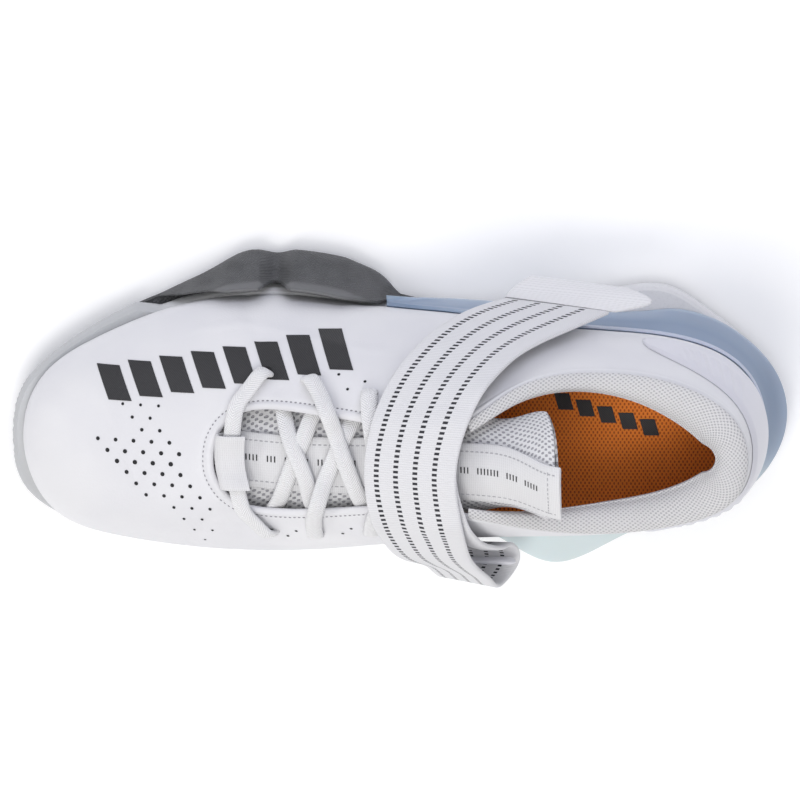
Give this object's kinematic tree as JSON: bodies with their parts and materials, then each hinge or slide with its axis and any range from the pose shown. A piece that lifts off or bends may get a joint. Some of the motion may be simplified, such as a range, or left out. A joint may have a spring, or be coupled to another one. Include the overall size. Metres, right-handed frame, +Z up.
{
  "type": "weightlifting shoe",
  "caption": "Right weightlifting shoe with a stiff raised heel wedge, hollow upper, padded collar, flat laces and an instep strap doubled back on itself.",
  "frame": {"origin": "centre of the shoe's bounding box in plan, on the floor plane", "axes": "+X from the heel to the toe, +Y to the medial side, +Z up"},
  "size_m": [0.3, 0.1252, 0.1232],
  "materials": {
    "rubber": "matte",
    "foam": "matte",
    "plate": "satin",
    "synthetic": "satin",
    "film": "satin",
    "mesh": "matte",
    "insole": "matte",
    "webbing": "matte"
  },
  "bodies": {
    "root": {"outsole": "rubber", "midsole": "foam", "heel_plate": "plate", "upper": "synthetic", "heel_counter": "film", "collar_pad": "mesh", "insole": "insole", "tongue": "mesh", "tongue_label": "webbing", "lace_bar": "webbing", "lace_cross_1": "webbing", "lace_cross_2": "webbing", "lace_cross_3": "webbing", "strap": "webbing", "hook_tab": "webbing", "strap_keeper": "film"}
  },
  "joints": []
}
